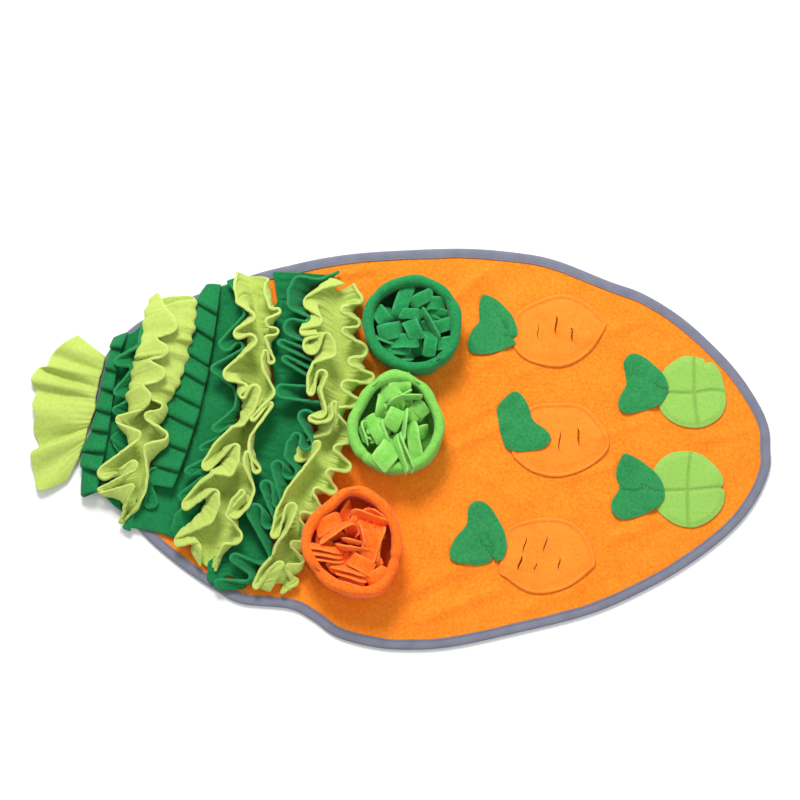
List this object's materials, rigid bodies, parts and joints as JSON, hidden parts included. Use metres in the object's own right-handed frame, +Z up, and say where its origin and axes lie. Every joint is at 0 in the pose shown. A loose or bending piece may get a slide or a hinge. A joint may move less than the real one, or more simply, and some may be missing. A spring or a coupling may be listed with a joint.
{
  "type": "snuffle mat",
  "caption": "Carrot-shaped fleece snuffle mat for pets, with standing ruffle rows, a leaf fan, soft cups with cut strips, and flat stitched patches.",
  "frame": {"origin": "on the underside of the flat mat, near the middle of its length and width", "axes": "+X along the mat towards its pointed end, +Y across it towards the dark green cup, +Z up"},
  "size_m": [0.7501, 0.4118, 0.0446],
  "materials": {
    "orange_fleece": "brushed fleece, soft and matte",
    "grey_tape": "woven polyester tape",
    "lime_fleece": "brushed fleece, soft and matte",
    "green_fleece": "brushed fleece, soft and matte",
    "cup_green_fleece": "brushed fleece, soft and matte",
    "light_green_fleece": "brushed fleece, soft and matte",
    "round_green_fleece": "brushed fleece, soft and matte",
    "leaf_green_fleece": "brushed fleece, soft and matte"
  },
  "bodies": {
    "root": {"base": "orange_fleece", "binding": "grey_tape", "leaf_fan": "lime_fleece", "ruffle_b": "green_fleece", "ruffle_c": "lime_fleece", "ruffle_d": "green_fleece", "ruffle_e": "lime_fleece", "ruffle_f": "green_fleece", "ruffle_g": "lime_fleece", "cup_dark": "cup_green_fleece", "cup_light": "light_green_fleece", "cup_orange": "orange_fleece", "tuft_dark": "cup_green_fleece", "tuft_light": "light_green_fleece", "tuft_orange": "orange_fleece", "patch_top": "orange_fleece", "patch_middle": "orange_fleece", "patch_bottom": "orange_fleece", "round_top": "round_green_fleece", "round_bottom": "round_green_fleece", "leaf_a": "leaf_green_fleece", "leaf_b": "leaf_green_fleece", "leaf_c": "leaf_green_fleece", "leaf_d": "leaf_green_fleece", "leaf_e": "leaf_green_fleece"}
  },
  "joints": []
}
